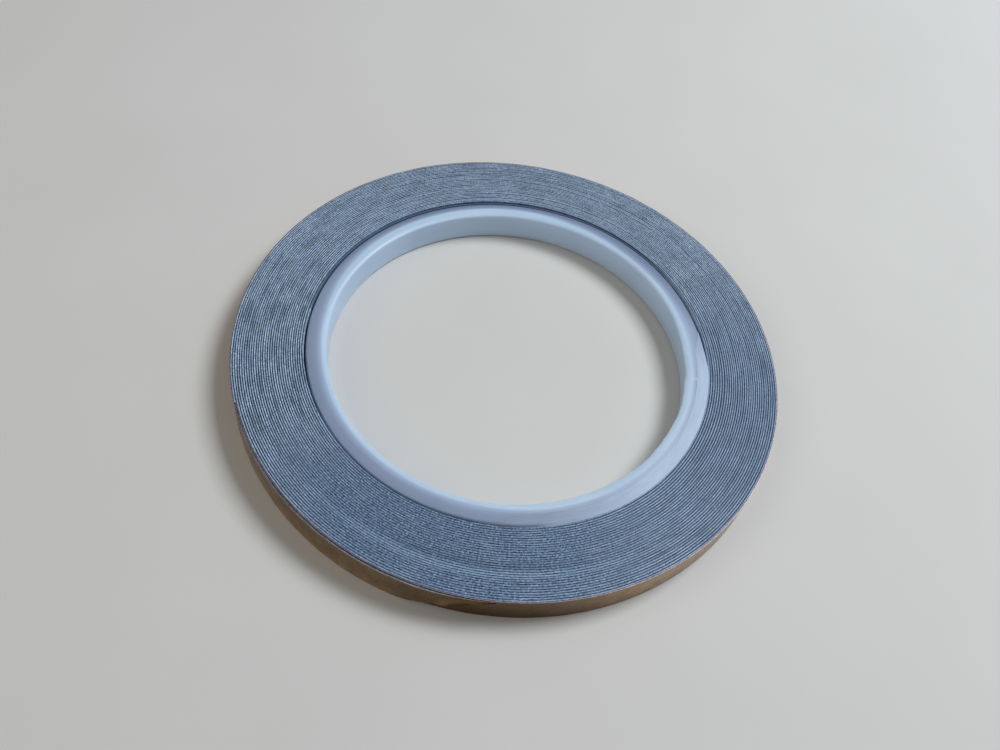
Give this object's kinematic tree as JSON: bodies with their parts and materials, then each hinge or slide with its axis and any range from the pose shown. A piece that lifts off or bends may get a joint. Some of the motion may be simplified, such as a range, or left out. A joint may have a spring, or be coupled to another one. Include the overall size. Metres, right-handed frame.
{
  "type": "copper foil tape roll",
  "caption": "Roll of narrow copper foil tape with its paper liner, wound on a white plastic core, with a free end that peels open.",
  "frame": {"origin": "centre of the core's bore at mid width", "axes": "+Z along the bore's axis, upwards as the roll lies flat; the free end of the tape is on the -Y side"},
  "size_m": [0.0954, 0.0959, 0.0058],
  "materials": {
    "core_plastic": "white, slightly translucent, satin gloss",
    "tab_paper": "smooth white paper",
    "liner_paper": "pale silicone-coated paper, cut edges",
    "adhesive": "clear grey acrylic, tacky",
    "copper_foil": "bright rolled copper, slightly wrinkled"
  },
  "bodies": {
    "roll": {"core": "core_plastic", "starter_tab": "tab_paper", "liner_winding": "liner_paper", "adhesive_winding": "adhesive", "foil_winding": "copper_foil"},
    "foil_end": {"foil_tail": "copper_foil", "adhesive_tail": "adhesive"},
    "liner_end": {"liner_tail": "liner_paper"}
  },
  "joints": [
    {"name": "foil_peel", "type": "hinge", "parent": "roll", "child": "foil_end", "pos_m": [-0.0423, -0.02251, 0], "axis": [0, 0, -1], "range_deg": [0, 70]},
    {"name": "liner_peel", "type": "hinge", "parent": "roll", "child": "liner_end", "pos_m": [-0.04208, -0.0224, 0], "axis": [0, 0, -1], "range_deg": [0, 35]}
  ],
  "couplings": [
    {"joint": "liner_peel", "follows": "foil_peel", "ratio": 0.5}
  ]
}
